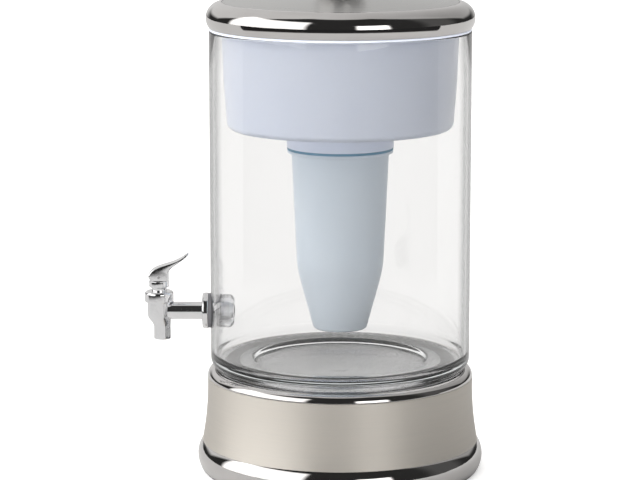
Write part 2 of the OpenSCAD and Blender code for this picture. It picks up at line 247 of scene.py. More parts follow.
class Nodes:
    """A node tree with short ways to add to it."""

    def __init__(self, tree):
        self.tree = tree

    def add(self, kind, **values):
        node = self.tree.nodes.new(kind)
        for key, value in values.items():
            setattr(node, key, value)
        return node

    def link(self, source, target):
        self.tree.links.new(source, target)

    def put(self, socket, value):
        """Sets the socket to a number, or links it to another node's output."""
        if isinstance(value, (int, float)):
            socket.default_value = value
        else:
            self.link(value, socket)

    def math(self, operation, a, b=0.0):
        node = self.add("ShaderNodeMath", operation=operation)
        self.put(node.inputs[0], a)
        self.put(node.inputs[1], b)
        return node.outputs[0]

    def total(self, *terms):
        made = terms[0]
        for term in terms[1:]:
            made = self.math("ADD", made, term)
        return made

    def times(self, a, b):
        return self.math("MULTIPLY", a, b)

    def radius(self, x, y):
        return self.math("SQRT", self.total(self.times(x, x), self.times(y, y)))

    def parts(self, vector):
        node = self.add("ShaderNodeSeparateXYZ")
        self.link(vector, node.inputs[0])
        return node.outputs

    def span(self, source, low, high, start=0.0, end=1.0, kind="LINEAR"):
        """Carries the range from start to end over to the one from low to high."""
        node = self.add("ShaderNodeMapRange", interpolation_type=kind)
        self.link(source, node.inputs["Value"])
        for name, value in (("From Min", start), ("From Max", end), ("To Min", low), ("To Max", high)):
            node.inputs[name].default_value = value
        return node.outputs["Result"]


class Look(Nodes):
    """A node material with its Principled shader."""

    def __init__(self, name):
        self.material = bpy.data.materials.new(name)
        self.material.use_nodes = True
        super().__init__(self.material.node_tree)
        self.shader = self.tree.nodes["Principled BSDF"]
        self.output = self.tree.nodes["Material Output"]

    def set(self, **values):
        for key, value in values.items():
            self.shader.inputs[key.replace("_", " ")].default_value = value
        return self

    def noise(self, scale, detail=3.0, vector=None, roughness=0.5):
        node = self.add("ShaderNodeTexNoise")
        for key, value in (("Scale", scale), ("Detail", detail), ("Roughness", roughness)):
            node.inputs[key].default_value = value
        self.link(vector or self.place(), node.inputs["Vector"])
        return node.outputs["Fac"]

    def place(self):
        return self.add("ShaderNodeTexCoord").outputs["Object"]

    def polar(self, turn, out, up):
        """Coordinates that follow the turned surface: angle, radius and height, each with its own scale."""
        x, y, z = self.parts(self.place())
        angle = self.math("ARCTAN2", y, x)
        joined = self.add("ShaderNodeCombineXYZ")
        self.link(self.times(self.math("COSINE", angle), turn), joined.inputs[0])
        self.link(self.times(self.math("SINE", angle), turn), joined.inputs[1])
        self.link(self.total(self.times(self.radius(x, y), out), self.times(z, up)), joined.inputs[2])
        return joined.outputs[0]

    def colour(self, factor, a, b):
        """The surface's colour, from a to b by the factor. Sockets 6, 7 and 2 are the Mix node's colours."""
        node = self.add("ShaderNodeMix", data_type="RGBA")
        self.link(factor, node.inputs["Factor"])
        node.inputs[6].default_value = (*a, 1)
        node.inputs[7].default_value = (*b, 1)
        self.link(node.outputs[2], self.shader.inputs["Base Color"])
        return self

    def roughness(self, source, low, high, start=0.3, end=0.7):
        self.link(self.span(source, low, high, start, end), self.shader.inputs["Roughness"])
        return self

    def bump(self, source, depth, strength=1.0):
        node = self.add("ShaderNodeBump")
        node.inputs["Strength"].default_value = strength
        node.inputs["Distance"].default_value = depth
        self.link(source, node.inputs["Height"])
        self.link(node.outputs[0], self.shader.inputs["Normal"])
        return self


def polished_steel():
    look = Look("polished_steel").set(Metallic=1.0)
    swirl = look.noise(1.0, 4, look.polar(14, 2600, 2600))
    cloud = look.noise(38, 3)
    look.colour(cloud, (0.60, 0.58, 0.57), (0.70, 0.69, 0.68))
    look.roughness(look.total(swirl, look.times(cloud, 0.5)), 0.025, 0.085, 0.5, 0.95)
    look.bump(swirl, 0.000004)
    return look.material


def brushed_steel(name, dark, light, turn, out, up, low, high):
    """Steel with a fine grain round it: turn, out and up set its spacing, low and high its roughness."""
    look = Look(name).set(Metallic=1.0, Anisotropic=0.5, Anisotropic_Rotation=0.25)
    fine = look.noise(1.0, 5, look.polar(turn, out, up), 0.65)
    broad = look.noise(1.0, 3, look.polar(turn * 0.45, out * 0.12, up * 0.12))
    grain = look.total(look.times(fine, 0.7), look.times(broad, 0.3))
    look.colour(grain, dark, light)
    look.roughness(grain, low, high)
    look.bump(fine, 0.00002, 0.6)
    tangent = look.add("ShaderNodeTangent", direction_type="RADIAL", axis="Z")
    look.link(tangent.outputs[0], look.shader.inputs["Tangent"])
    return look.material


def plain_steel():
    look = Look("plain_steel").set(Metallic=1.0)
    grain = look.noise(1.0, 4, look.polar(30, 900, 900))
    look.colour(grain, (0.62, 0.61, 0.62), (0.80, 0.79, 0.80))
    look.roughness(grain, 0.16, 0.34)
    look.bump(grain, 0.00001)
    return look.material


def tap_chrome():
    look = Look("tap_chrome").set(Metallic=1.0)
    cloud = look.noise(160, 4)
    look.colour(cloud, (0.78, 0.78, 0.79), (0.88, 0.88, 0.89))
    look.roughness(look.noise(420, 3), 0.05, 0.15)
    look.bump(cloud, 0.00004, 0.5)
    return look.material


def clear_glass():
    """Clear glass with a faint waviness. Its colour turns grey where it is seen at a grazing angle: painted
    shade that stands in for the dark reflections along the jar's edges.
    """
    look = Look("clear_glass").set(Transmission_Weight=1.0, IOR=1.5)
    painted_edge_weight = look.add("ShaderNodeLayerWeight")
    painted_edge_weight.inputs["Blend"].default_value = 0.5
    # Painted shade: the colour goes from white to grey at grazing angles, standing in for dark reflections at
    # the glass's edges
    look.colour(look.span(painted_edge_weight.outputs["Facing"], 0.0, 1.0, 0.66, 0.80), (1, 1, 1), (0.24, 0.25, 0.25))
    wave = look.noise(22, 2)
    look.roughness(wave, 0.0, 0.012)
    look.bump(wave, 0.00012, 0.2)
    tint = look.add("ShaderNodeVolumeAbsorption")
    tint.inputs["Color"].default_value = (0.70, 0.76, 0.77, 1)
    tint.inputs["Density"].default_value = 4.0
    look.link(tint.outputs[0], look.output.inputs["Volume"])
    return look.material


def clear_plastic():
    look = Look("clear_plastic").set(Transmission_Weight=0.92, IOR=1.49)
    look.colour(look.noise(90, 2), (0.90, 0.91, 0.93), (0.97, 0.98, 0.99))
    look.roughness(look.noise(300, 3), 0.03, 0.12)
    look.bump(look.noise(120, 2), 0.00008, 0.4)
    return look.material


def milky_plastic(name, dark, light, glow, low, high):
    """Translucent moulded plastic. glow is its share of scattered light, low and high its roughness."""
    look = Look(name).set(Subsurface_Weight=glow, Subsurface_Scale=0.004, IOR=1.46)
    look.shader.inputs["Subsurface Radius"].default_value = (1.0, 1.0, 1.0)
    look.colour(look.noise(16, 3), dark, light)
    grain = look.noise(900, 3)
    look.roughness(grain, low, high)
    look.bump(grain, 0.00003, 0.4)
    return look.material


def soft_rubber(name, dark, light, low, high):
    look = Look(name)
    grain = look.noise(700, 4)
    look.colour(grain, dark, light)
    look.roughness(grain, low, high)
    look.bump(grain, 0.00006, 0.6)
    return look.material


def granules(name, dark, light, size):
    """Packed grains or beads."""
    look = Look(name)
    cells = look.add("ShaderNodeTexVoronoi")
    cells.inputs["Scale"].default_value = 1 / size
    look.link(look.place(), cells.inputs["Vector"])
    look.colour(look.noise(1 / size, 2), dark, light)
    look.roughness(look.noise(2 / size, 2), 0.35, 0.75)
    look.bump(cells.outputs["Distance"], size * 0.4, 0.8)
    return look.material


MATERIALS = {
    "polished_steel": polished_steel(),
    "brushed_lid": brushed_steel(
        "brushed_lid", (0.50, 0.50, 0.49), (0.66, 0.66, 0.65), turn=3.0, out=2600, up=0, low=0.24, high=0.42
    ),
    "brushed_band": brushed_steel(
        "brushed_band", (0.66, 0.63, 0.58), (0.84, 0.80, 0.74), turn=3.0, out=0, up=2600, low=0.52, high=0.68
    ),
    "plain_steel": plain_steel(),
    "tap_chrome": tap_chrome(),
    "clear_glass": clear_glass(),
    "clear_plastic": clear_plastic(),
    "reservoir": milky_plastic("reservoir_plastic", (0.72, 0.78, 0.94), (0.80, 0.85, 1.0), 0.4, 0.28, 0.42),
    "filter": milky_plastic("filter_plastic", (0.62, 0.70, 0.78), (0.70, 0.77, 0.85), 0.2, 0.30, 0.46),
    "gasket_blue": soft_rubber("gasket_blue", (0.10, 0.24, 0.36), (0.14, 0.32, 0.46), 0.35, 0.55),
    "black_rubber": soft_rubber("black_rubber", (0.012, 0.012, 0.012), (0.03, 0.03, 0.03), 0.55, 0.8),
    "grey_rubber": soft_rubber("grey_rubber", (0.10, 0.10, 0.11), (0.17, 0.17, 0.18), 0.5, 0.75),
    "silicone": soft_rubber("silicone", (0.66, 0.69, 0.70), (0.78, 0.81, 0.82), 0.35, 0.55),
    "foam": soft_rubber("foam", (0.70, 0.71, 0.70), (0.84, 0.85, 0.84), 0.8, 0.95),
    "carbon": granules("carbon", (0.008, 0.008, 0.008), (0.035, 0.035, 0.035), 0.0012),
    "resin": granules("resin", (0.34, 0.17, 0.05), (0.60, 0.36, 0.14), 0.0008),
}


# ---------------------------------------------------------------- stand


def build_foot_ring():
    """A pressed ring with a round outer side and a seat for the band."""
    r = 19.6 * MM
    x = FOOT_HIGH.x - r
    z = FOOT_LOW.z + 11 * MM
    top = BAND_LOW.z
    start = math.degrees(math.asin((FOOT_LOW.z - z) / r))
    end = math.degrees(math.asin((top - 0.5 * MM - z) / r))
    outer = arc(x, z, r, start, end, 32)
    inner = [(p - (p - x) / r * SHEET, q - (q - z) / r * SHEET) for p, q in reversed(outer)]
    lip = FOOT_HIGH.x - 7.7 * MM
    seat = [(outer[-1][0] - 0.5 * MM, top), (lip + SHEET, top)]
    seat += [(lip + SHEET, FOOT_HIGH.z), (lip, FOOT_HIGH.z)]
    shelf = [(lip, top - SHEET), (inner[0][0], top - SHEET)]
    ledge = FOOT_HIGH.x - 9.2 * MM
    floor = [(inner[-1][0], FOOT_LOW.z + SHEET), (ledge, FOOT_LOW.z + SHEET), (ledge, FOOT_LOW.z)]
    inner = [p for p in inner if FOOT_LOW.z + SHEET < p[1] < top - SHEET]
    profile = outer + seat + shelf + inner + floor
    return turned("foot_ring_shell", profile)


def build_base_band():
    """A straight band that flares out to the foot on one arc."""
    high = BAND_HIGH.z
    low = BAND_LOW.z
    straight = 7 * MM
    flare = BAND_HIGH.x - SHOULDER_HIGH.x
    rise = high - straight - low
    r = (rise * rise + flare * flare) / (2 * flare)
    start = 180 + math.degrees(math.asin(rise / r))
    outer = arc(SHOULDER_HIGH.x + r, high - straight, r, start, 180, 40)
    outer += [(SHOULDER_HIGH.x, high - 0.35 * MM), (SHOULDER_HIGH.x - 0.35 * MM, high)]
    inner = [(p - SHEET, q) for p, q in reversed(outer[:-2])]
    profile = outer + [(SHOULDER_HIGH.x - SHEET, high)] + inner
    return turned("base_band_shell", profile)


def build_shoulder_ring():
    """A bull-nosed ring round the vessel's heel, with a shelf for the seat plate."""
    r = 6.8 * MM
    x = SHOULDER_HIGH.x - r
    z = SHOULDER_HIGH.z - r
    wall = x - 0.8 * MM
    skirt = SHOULDER_HIGH.x - 1.4 * MM
    outer = arc(x, z, r, 2, 90, 28)
    rolled = arc(wall + 0.5 * MM, SHOULDER_HIGH.z - 0.5 * MM, 0.5 * MM, 90, 180, 6)
    low = SEAT_LOW.z + 3.5 * MM
    inside = [(wall, low), (SEAT_HIGH.x - 6 * MM, low), (SEAT_HIGH.x - 6 * MM, SHOULDER_LEDGE)]
    inside += [(wall + SHEET, SHOULDER_LEDGE), (wall + SHEET, SHOULDER_HIGH.z - SHEET)]
    under = arc(x, z, r - SHEET, 90, 14, 14)
    tail = [(skirt - SHEET, z + SHEET), (skirt - SHEET, SHOULDER_LOW.z), (skirt, SHOULDER_LOW.z), (skirt, z)]
    return turned("shoulder_ring_shell", outer + rolled + inside + under + tail)


def build_seat():
    """The plate under the vessel: a shallow dish with a raised middle."""
    high = SEAT_HIGH.z
    edge = SEAT_HIGH.x
    floor = high - 5 * MM
    boss = floor + 1.5 * MM
    top = [(0, boss), (12.5 * MM, boss)]
    bend = 15.5 * MM
    top += curve((13.5 * MM, boss), (bend, floor + 1.4 * MM), (bend, floor + 0.1 * MM), (18 * MM, floor), 10)
    top += curve((65 * MM, floor), (68.5 * MM, floor), (67.8 * MM, high), (71 * MM, high), 16)
    top += [(74 * MM, high), (edge - 0.2 * MM, high), (edge, high - 0.2 * MM)]
    return turned("seat_pressing", top + [(r, h - SHEET) for r, h in reversed(top[:-1])])


# ---------------------------------------------------------------- vessel


def build_jar():
    """The vessel, with a rounded lip and heel, a thick stepped floor and a hole for the tap."""
    r = JAR_HIGH.x
    wall = 4 * MM
    inner = r - wall
    low = JAR_LOW.z
    high = JAR_HIGH.z
    heel = 11 * MM
    lip = 1.2 * MM
    floor = low + 9.5 * MM
    well = low + 5.5 * MM
    well_r = 71 * MM
    turn = 8 * MM
    band = 16 * MM
    out = arc(r - heel, low + heel, heel, -90, 0, 24)
    out += [(r, TAP_Z - band), (r, TAP_Z + band)]
    out += line((r, TAP_Z + band), (r, high - lip), 6)
    rim = arc(r - lip, high - lip, lip, 0, 90, 8) + arc(inner + lip, high - lip, lip, 90, 180, 8)
    back = line((inner, high - lip), (inner, TAP_Z + band), 6)
    back += [(inner, TAP_Z + band), (inner, TAP_Z - band)]
    foot = arc(inner - turn, floor + turn, turn, 0, -90, 20)
    slope = 3 * MM
    edge = well_r + 0.5 * MM
    step = curve((well_r + slope, floor), (well_r, floor), (edge, well), (well_r - slope, well), 14)
    bottom = [(0, well), (0, low)]
    jar = turned("glass_jar_body", out + rim + back + foot + step + bottom, 256)
    hole = drill("tap_hole", 7.8 * MM, inner - 3 * MM, r + 3 * MM, BORE_ROUND, on_shank)
    return combine(jar, [hole], "DIFFERENCE")


# ---------------------------------------------------------------- tap


def build_tap_body():
    """Barrel and tapered spout in one casting with the threaded shank, hollow all the way."""
    top = BONNET_LOW.z
    shoulder = TAP_Z - 3.5 * MM
    waist = TAP_Z - 13.5 * MM
    low = TAP_LOW.z
    big = 9.8 * MM
    small = 7.05 * MM
    ahead = 2.35 * MM
    rows = []
    steps = 14
    for i in range(steps + 1):
        t = i / steps
        soft = t * t * (3 - 2 * t)
        rows.append((waist + (shoulder - waist) * t, small + (big - small) * soft, ahead * (1 - soft)))
    lip = 0.7 * MM
    foot = [(low, small - lip, ahead), (low + lip * 0.3, small - lip * 0.3, ahead), (low + lip, small, ahead)]
    spout = [(low + (waist - low) * k / 4, small, ahead) for k in range(1, 4)]
    head = [(shoulder + (top - shoulder) * k / 4, big, 0) for k in range(1, 5)]
    spigot = 8.6 * MM
    neck = [(top, spigot, 0), (TAP_HIGH.z, spigot, 0)]
    rings = foot + spout + rows + head + neck
    around = 96
    verts = []
    for z, r, y in rings:
        verts += [
            (r * math.cos(2 * math.pi * k / around), BARREL_Y + y + r * math.sin(2 * math.pi * k / around), z)
            for k in range(around)
        ]
    body = add_mesh("tap_casting", verts, tube_faces(len(rings), around))
    end = -TAP_HIGH.y
    reach = -BARREL_Y
    profile = [(0, end), (SHANK_R - 0.6 * MM, end), (SHANK_R, end + 0.6 * MM)]
    for k in range(7):
        profile += thread_turn(end + (1.5 + 1.5 * k) * MM, SHANK_R)
    profile += [(SHANK_R, -FLANGE_HIGH.y), (SHANK_R, reach - 7 * MM), (0, reach - 7 * MM)]
    shank = turned("shank", profile, around, on_shank)
    body = combine(body, [shank], "UNION")
    bore = drill("bore", 5.3 * MM, low - MM, low + 11 * MM, BORE_ROUND, upright(0, BARREL_Y + ahead))
    inlet = drill("inlet", 4.5 * MM, end - MM, reach - 2 * MM, BORE_ROUND, on_shank)
    chamber = drill("chamber", 6.4 * MM, TAP_Z - 6 * MM, TAP_HIGH.z + MM, BORE_ROUND, AT_BARREL)
    return combine(body, [bore, inlet, chamber], "DIFFERENCE")


def thread_turn(at, r):
    """One groove of the shank's thread."""
    return [(r, at), (r - 0.5 * MM, at + 0.35 * MM), (r - 0.5 * MM, at + 0.6 * MM), (r, at + 0.95 * MM)]


def build_bonnet():
    r = BONNET_HIGH.x
    low = BONNET_LOW.z
    high = BONNET_HIGH.z
    inside = 8.7 * MM
    seat = TAP_HIGH.z + 0.1 * MM
    outline = [(inside, low), (r - 1.0 * MM, low)]
    outline += curve((r - 0.7 * MM, low), (r, low + 0.2 * MM), (r, low + 0.8 * MM), (r, low + 1.6 * MM), 6)
    outline += arc(r - 2.6 * MM, high - 2.6 * MM, 2.6 * MM, 0, 90, 12)
    outline += [(STEM_HOLE + 0.6 * MM, high), (STEM_HOLE, high - 0.5 * MM), (STEM_HOLE, seat), (inside, seat)]
    return turned("bonnet_cap", outline, TAP_ROUND, AT_BARREL)


def build_collar():
    r = COLLAR_HIGH.x
    low = COLLAR_LOW.z
    high = COLLAR_HIGH.z
    step = high - 5.5 * MM
    neck = 6.2 * MM
    soft = 0.7 * MM
    outline = [(STEM_HOLE, low), (neck, low)] + arc(neck + 0.4 * MM, step - 0.4 * MM, 0.4 * MM, 180, 90, 4)
    outline += arc(r - soft, step + soft, soft, -90, 0, 8) + arc(r - soft, high - soft, soft, 0, 90, 8)
    outline += [(STEM_HOLE, high)]
    return turned("collar_ring", outline, TAP_ROUND, AT_BARREL)


def build_flange():
    r = FLANGE_HIGH.x
    back = -FLANGE_HIGH.y
    front = -FLANGE_LOW.y
    outline = [(SHANK_HOLE, back), (r - 0.4 * MM, back), (r, back + 0.4 * MM), (r, back + 2.4 * MM)]
    outline += arc(r - 1.8 * MM, front - 2.0 * MM, 1.8 * MM, 8, 80, 8)
    chamfer = [(2.4 * MM, 0), (1.6 * MM, 0.5 * MM), (0, 0.5 * MM)]
    outline += [(SHANK_HOLE + out, front - down) for out, down in chamfer]
    return turned("flange_plate", outline, TAP_ROUND, on_shank)


def build_lock_nut():
    r = NUT_HIGH.x
    face = -NUT_LOW.y
    back = -NUT_HIGH.y
    dome = 5 * MM
    web = back + 2.6 * MM
    water_way = 5 * MM
    outline = [(SHANK_HOLE, face), (SHANK_HOLE, web), (water_way, web), (water_way, back)]
    outline += arc(r - dome, back + dome, dome, -90, 0, 16)
    outline += [(r, face - 3.2 * MM), (r - 0.7 * MM, face - 2.7 * MM), (r - 0.7 * MM, face - 2.2 * MM)]
    outline += [(r, face - 1.7 * MM), (r, face)]
    return turned("lock_nut_cap", outline, TAP_ROUND, on_shank)


def build_lever():
    """A loft from the lever's foot to its tip: each section spans from the back side to the front.

    Its side view is in millimetres about the pin, and it narrows towards the tip."""
    half = LEVER_HIGH.x / MM
    low = (LEVER_LOW.z - PIN_Z) / MM
    sections = 72
    toe = 4.3
    ahead = -8.8
    behind = 8
    front = arc(ahead + toe, low + toe, toe, -90, -180, 12) + [(ahead, 1.1)]
    front = spaced(front + curve((ahead, 1.1), (-6, 11.5), (13.5, 8.5), (24.2, 20.2), 60)[1:], sections)
    back = [(behind, low), (behind, low + 1.5), (behind, low + 3.5), (behind, 2.5)]
    back = spaced(back + curve((behind, 4.2), (11.5, 10.2), (18.5, 11.8), (24.9, 18.9), 60), sections)
    pairs = list(zip(front, back))
    count = 56
    verts = []
    for top, bottom in pairs:
        top, bottom = Vector(top), Vector(bottom)
        middle = (top + bottom) / 2
        along = (top - bottom) / 2
        reach = max(0.0, (middle.x - 15) / 10)
        wide = half * math.sqrt(max(0.08, 1 - 0.92 * min(1.0, reach) ** 3))
        thick = along.length
        soft = min(1.5, thick * 0.6)
        for x, d in box_ring(wide, thick, soft, count):
            p = middle + along.normalized() * d
            verts.append((x * MM, PIN_Y + p.x * MM, PIN_Z + p.y * MM))
    blade = add_mesh("lever_blade", verts, tube_faces(len(pairs), count), 40)
    slot = box_at("slot", (-2.7, -9.5, low - 1), (2.7, 3.5, 3.6), PIN_Y, PIN_Z)
    past = half * MM * 2
    hole = drill("hole", 1.21 * MM, -past, past, 32, on_pin)
    combine(blade, [slot, hole], "DIFFERENCE")
    soften(blade, 0.5 * MM)
    return blade


def soften(piece, width):
    """Rounds the sharp edges a little."""
    mod = piece.modifiers.new("soft_edges", "BEVEL")
    mod.width = width
    mod.segments = 3
    mod.limit_method = "ANGLE"
    mod.angle_limit = math.radians(50)
    mod.harden_normals = True


def spaced(points, count):
    """The same path with its points at equal distances."""
    points = [Vector(p) for p in points]
    lengths = [0.0]
    for p, q in zip(points, points[1:]):
        lengths.append(lengths[-1] + (q - p).length)
    made = []
    k = 0
    for i in range(count):
        at = lengths[-1] * i / (count - 1)
        while k < len(points) - 2 and lengths[k + 1] < at:
            k += 1
        t = (at - lengths[k]) / max(1e-9, lengths[k + 1] - lengths[k])
        made.append(tuple(points[k].lerp(points[k + 1], min(1.0, t))))
    return made


def box_ring(wide, thick, soft, count):
    """Points round a rectangle with rounded corners, half wide by half thick."""
    made = []
    each = count // 4
    corners = [(wide, thick, 0), (-wide, thick, 90), (-wide, -thick, 180), (wide, -thick, 270)]
    for x, z, turn in corners:
        cx = x - math.copysign(soft, x)
        cz = z - math.copysign(soft, z)
        made += arc(cx, cz, soft, turn, turn + 90, each - 1)
    return made


def box_at(name, low, high, y, z):
    """A box between two corners in millimetres about a point on the barrel's plane."""
    bm = bmesh.new()
    bmesh.ops.create_cube(bm, size=1)
    for v in bm.verts:
        corner = [low[i] if v.co[i] < 0 else high[i] for i in range(3)]
        v.co = Vector((corner[0] * MM, y + corner[1] * MM, z + corner[2] * MM))
    mesh = bpy.data.meshes.new(name)
    bm.to_mesh(mesh)
    bm.free()
    return add_object(name, mesh)


def build_spring():
    """A round wire wound in a helix, with its end turns lying flat."""
    mean = SPRING_HIGH.x - WIRE
    turns = 7
    dead = 0.11  # share of the wire in each flat end turn
    low = SPRING_LOW.z + WIRE
    high = SPRING_HIGH.z - WIRE
    rise = WIRE * 1.9
    steps = turns * 40
    around = 12
    verts = []
    for i in range(steps + 1):
        t = i / steps
        flat = min(t, dead) + max(0.0, t - 1 + dead)
        open_part = min(max(t - dead, 0.0), 1 - 2 * dead) / (1 - 2 * dead)
        z = low + flat * turns * rise + open_part * (high - low - 2 * dead * turns * rise)
        a = 2 * math.pi * turns * t
        for k in range(around):
            b = 2 * math.pi * k / around
            out = mean + WIRE * math.cos(b)
            verts.append(AT_BARREL(out, z + WIRE * math.sin(b), a))
    return add_mesh("spring_coil", verts, tube_faces(steps + 1, around))


def press_spring(piece):
    """Gives the spring a mesh of its own."""
    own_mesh(piece)


# ---------------------------------------------------------------- reservoir and filter


def build_reservoir():
    """The bowl, hung from its thin flange, with an open socket under its floor."""
    wall = 2.5 * MM
    out = JAR_HIGH.x - 9 * MM
    low_r = JAR_HIGH.x - 14.5 * MM
    floor = GASKET_HIGH.z + 15.6 * MM
    corner = 6 * MM
    rim = JAR_HIGH.z
    top = RES_HIGH.z
    flange = RES_HIGH.x
    socket = 44 * MM
    bore = 41.6 * MM
    stop = 37 * MM
    outer = [(stop, floor - 2 * MM), (bore, floor - 2 * MM), (bore, GASKET_HIGH.z)]
    outer += [(socket - 0.4 * MM, GASKET_HIGH.z)]
    outer += [(socket, GASKET_HIGH.z + 0.4 * MM), (socket, floor - 1.2 * MM)]
    fillet = 1.2 * MM
    side = socket + 0.2 * MM
    outer += curve((socket, floor - MM), (socket, floor), (side, floor), (socket + fillet, floor), 6)
    outer += arc(low_r - corner, floor + corner, corner, -90, -4, 16)
    soft = 0.5 * MM
    lip = [(out, rim), (flange - soft, rim), (flange, rim + soft), (flange, top - soft), (flange - soft, top)]
    lip += [(out - wall + 0.8 * MM, top), (out - wall, top - 0.8 * MM)]
    bend = 4 * MM
    inner = arc(low_r - wall - bend, floor + wall + bend, bend, -4, -90, 10)
    return turned("reservoir_bowl", outer + lip + inner + [(stop, floor + wall)])


def build_filter_shell():
    """The cartridge's tapered shell, with a collar and neck on top and drain holes in its floor."""
    low = CART_LOW.z
    neck_top = CART_HIGH.z
    collar = GASKET_LOW.z
    length = collar - low
    wall = 1.8 * MM
    waist_z = low + length * 0.343
    waist = 35.6 * MM
    top_r = 40 * MM
    tip = 22.6 * MM
    rim = CART_HIGH.x
    ledge = collar - 2.4 * MM
    neck = 41.2 * MM
    foot = arc(tip - 3 * MM, low + 3 * MM, 3 * MM, -90, -15, 12)
    bend = 16 * MM
    below = slide((tip, low), (waist, waist_z), 1 - bend / (waist_z - low))
    above = slide((waist, waist_z), (top_r, ledge), bend / (ledge - waist_z))
    outer = [(0, low)] + foot + curve(below, (waist, waist_z), (waist, waist_z), above, 14)
    outer += [(top_r, ledge - 1.5 * MM), (top_r + 0.4 * MM, ledge - 0.3 * MM), (rim - 0.5 * MM, ledge)]
    outer += [(rim, ledge + 0.5 * MM), (rim, collar - 0.4 * MM), (rim - 0.4 * MM, collar)]
    outer += [(neck, collar), (neck, neck_top), (neck - 2.4 * MM, neck_top), (neck - 2.4 * MM, ledge)]
    outer += [(top_r - wall, ledge - MM), (waist - wall, waist_z), (tip - wall, low + wall), (0, low + wall)]
    shell = turned("filter_body", outer)
    holes = []
    for i in range(8):
        r = 0 if i == 0 else 12 * MM
        a = math.radians(45 * i)
        x, y = r * math.cos(a), r * math.sin(a)
        holes.append(drill("drain", 1.5 * MM, low - MM, low + 3 * MM, 24, upright(x, y)))
    return combine(shell, holes, "DIFFERENCE")


def slide(p, q, t):
    """The point a share t of the way from p to q."""
    return (p[0] + (q[0] - p[0]) * t, p[1] + (q[1] - p[1]) * t)


# ---------------------------------------------------------------- lid


def build_lid_rim():
    """The bull-nosed rim, with a shelf for the lid's top and a rolled foot."""
    r = 13 * MM
    x = RIM_HIGH.x - r
    z = RIM_HIGH.z - r
    low = RIM_LOW.z
    start = math.degrees(math.asin((low + 0.6 * MM - z) / r))
    outer = arc(x, z, r, start, 90, 44)
    hem = outer[0][0]
    under = arc(x, z, r - SHEET, 90, math.degrees(math.asin((low + SHEET - z) / (r - SHEET))), 30)
    inside = JAR_HIGH.x - 16.5 * MM
    foot = [(inside, low + SHEET), (inside, low), (hem - 0.9 * MM, low), (hem - 0.25 * MM, low + 0.2 * MM)]
    ledge = RIM_HIGH.z - SHEET
    shelf = [(x, ledge - 0.05 * MM), (x - 4 * MM, ledge - 0.05 * MM)]
    shelf += [(x - 4 * MM, ledge - SHEET), (x + 0.5 * MM, ledge - SHEET)]
    return turned("lid_rim_shell", outer + shelf + under[2:] + foot)


def build_lid_top():
    """A slightly domed disc with a hole for the knob's screw."""
    reach = TOP_HIGH.x
    high = TOP_HIGH.z
    edge = TOP_LOW.z + 1 * MM
    rise = high - edge
    r = (reach * reach + rise * rise) / (2 * rise)
    span = math.degrees(math.asin(reach / r))
    outer = arc(0, high - r, r, 90 - span, 90 - math.degrees(math.asin(2.2 * MM / r)), 40)
    inner = [(p, q - 1 * MM) for p, q in reversed(outer)]
    outer[0] = (outer[0][0] - 0.25 * MM, outer[0][1])
    return turned("lid_top_shell", outer + inner)


def build_knob():
    """A flattened ball on a short neck with a small foot."""
    low = KNOB_LOW.z
    head = KNOB_HIGH.x
    half = (KNOB_HIGH.z - low - MM) / 2
    neck = 6.5 * MM
    foot = neck + 2 * MM
    profile = [(0, low), (foot - 0.2 * MM, low), (foot, low + 0.2 * MM), (foot, low + 0.6 * MM)]
    profile += [(foot - 0.2 * MM, low + 0.8 * MM), (neck + 0.3 * MM, low + 0.8 * MM), (neck, low + 1.1 * MM)]
    start = -math.acos(neck / head)
    steps = 64
    for i in range(steps + 1):
        a = start + (math.pi / 2 - start) * i / steps
        profile.append((0 if i == steps else head * math.cos(a), KNOB_HIGH.z - half + half * math.sin(a)))
    return turned("knob_body", profile, 160)


# ---------------------------------------------------------------- put the pieces together


def place_pieces():
    m = MATERIALS
    show(build_foot_ring(), "foot_ring", m["polished_steel"])
    show(build_base_band(), "base_band", m["brushed_band"])
    show(build_shoulder_ring(), "shoulder_ring", m["polished_steel"])
    show(build_seat(), "seat_plate", m["plain_steel"])
    show(build_jar(), "glass_jar", m["clear_glass"])
    show(build_tap_body(), "tap_body", m["tap_chrome"])
    show(build_bonnet(), "tap_bonnet", m["tap_chrome"])
    show(build_collar(), "swivel_collar", m["tap_chrome"])
    show(build_flange(), "outer_flange", m["tap_chrome"])
    show(build_lock_nut(), "lock_nut", m["clear_plastic"])
    show(build_lever(), "lever", m["tap_chrome"])
    press_spring(show(build_spring(), "valve_spring", m["plain_steel"]))
    show(build_reservoir(), "reservoir", m["reservoir"])
    show(build_filter_shell(), "filter_shell", m["filter"])
    show(build_lid_rim(), "lid_rim", m["polished_steel"])
    show(build_lid_top(), "lid_top", m["brushed_lid"])
    show(build_knob(), "lid_knob", m["polished_steel"])
    kept = {
        "valve_stem": ("plain_steel", "plain_steel"),
        "lever_pin": ("plain_steel", "plain_steel"),
        "knob_screw": ("plain_steel", "plain_steel"),
        "filter_grille": ("filter", "filter_plastic"),
        "filter_gasket": ("gasket_blue", "gasket_blue"),
        "non_slip_ring": ("black_rubber", "black_rubber"),
        "stem_oring": ("black_rubber", "black_rubber"),
        "valve_seal": ("black_rubber", "black_rubber"),
        "outer_gasket": ("grey_rubber", "grey_rubber"),
        "inner_gasket": ("grey_rubber", "grey_rubber"),
        "cushion_ring": ("silicone", "silicone"),
        "lid_seal": ("silicone", "silicone"),
        "knob_washer": ("silicone", "silicone"),
        "foam_disc": ("foam", "foam"),
        "outlet_screen": ("foam", "foam"),
        "carbon_bed": ("carbon", "carbon"),
        "resin_bed": ("resin", "resin"),
    }
    for node, (look, slot) in kept.items():
        dress(node, m[look], slot)


# ---------------------------------------------------------------- room, light and camera


